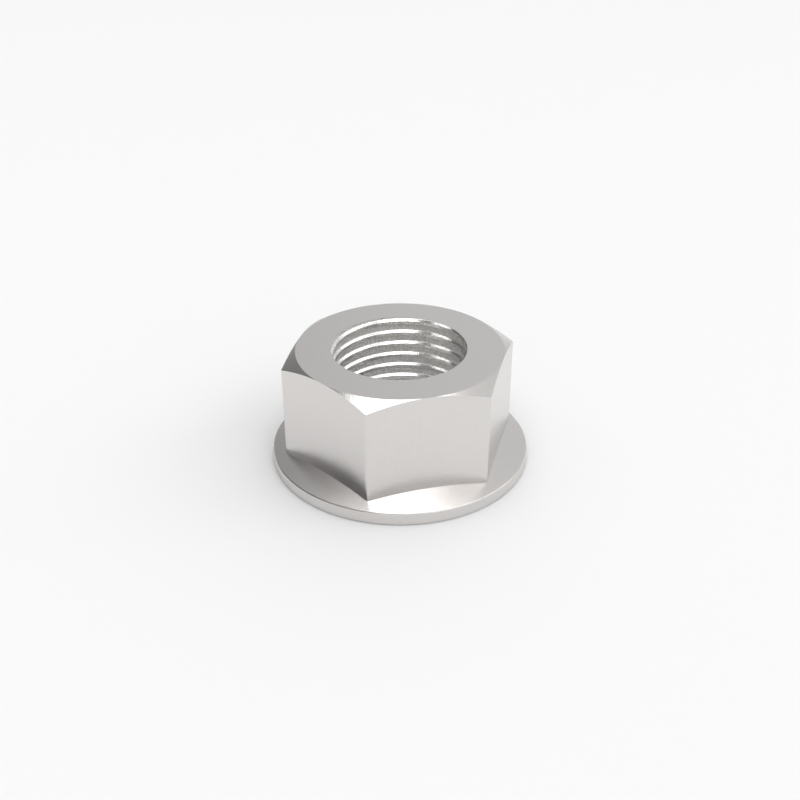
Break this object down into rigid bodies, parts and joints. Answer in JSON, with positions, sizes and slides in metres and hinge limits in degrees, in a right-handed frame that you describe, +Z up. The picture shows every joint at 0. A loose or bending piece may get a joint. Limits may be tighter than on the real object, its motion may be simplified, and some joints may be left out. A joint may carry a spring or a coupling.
{
  "type": "flange lock nut",
  "caption": "Hexagon nut with an integral round flange, fine left-hand thread and ratchet teeth on the bearing face.",
  "frame": {"origin": "centre of the bearing face", "axes": "+Z up the thread's axis from the bearing face to the top face, two of the hexagon's corners on X"},
  "size_m": [0.0304, 0.0304, 0.014],
  "materials": {
    "stainless_steel": "satin, bead-blasted stainless steel with a fine sparkle"
  },
  "bodies": {
    "root": {"nut": "stainless_steel"}
  },
  "joints": []
}
